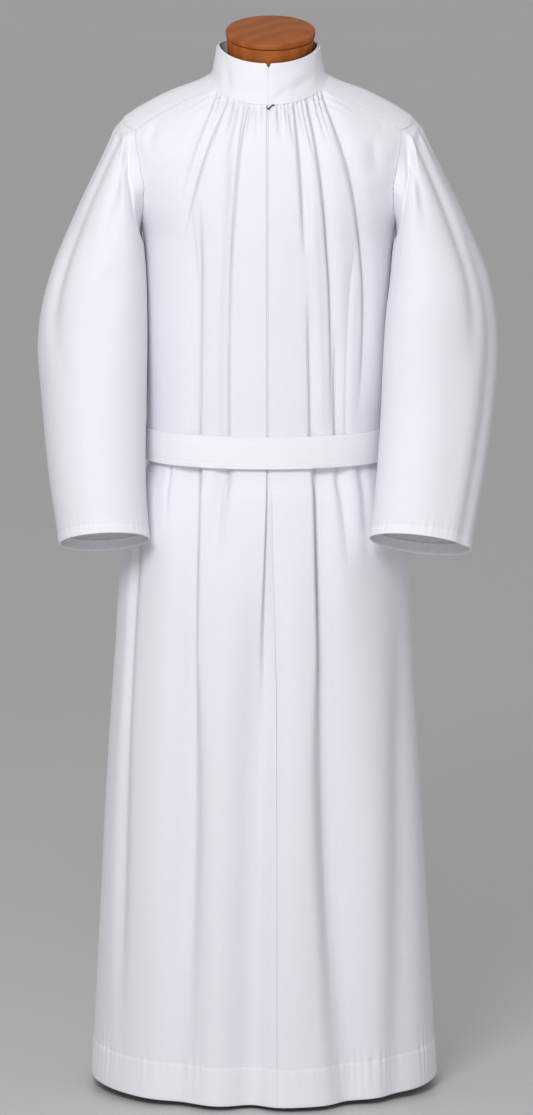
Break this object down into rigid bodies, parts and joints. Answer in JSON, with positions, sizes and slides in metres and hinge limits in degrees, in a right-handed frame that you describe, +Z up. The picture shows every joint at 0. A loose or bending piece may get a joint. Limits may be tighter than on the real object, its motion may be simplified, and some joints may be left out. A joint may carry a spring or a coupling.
{
  "type": "alb on a dress form",
  "caption": "Full-length white alb with a gathered stand collar, set-in sleeves and a belt, worn by a limbless dress form with a wooden neck on a pole and a round base.",
  "frame": {"origin": "on the floor, at the centre of the underside of the stand's base plate", "axes": "+Z up; the alb faces -Y and its wearer's left is +X"},
  "size_m": [0.6838, 0.4087, 1.6131],
  "materials": {
    "cloth": "matt, fine plain weave",
    "hook_metal": "dark nickel",
    "form_cover": "matt linen",
    "neck_wood": "satin varnish",
    "pole_steel": "satin",
    "base_iron": "black, satin"
  },
  "bodies": {
    "root": {"front_panel_left": "cloth", "front_panel_right": "cloth", "back_panel": "cloth", "yoke_left": "cloth", "yoke_right": "cloth", "yoke_band_left": "cloth", "yoke_band_right": "cloth", "sleeve_left": "cloth", "sleeve_right": "cloth", "collar_stand": "cloth", "collar_facing": "cloth", "belt": "cloth", "collar_hook": "hook_metal", "collar_bar": "hook_metal", "form_torso": "form_cover", "neck_block": "neck_wood", "neck_cap": "neck_wood", "pole": "pole_steel", "base_plate": "base_iron"}
  },
  "joints": []
}
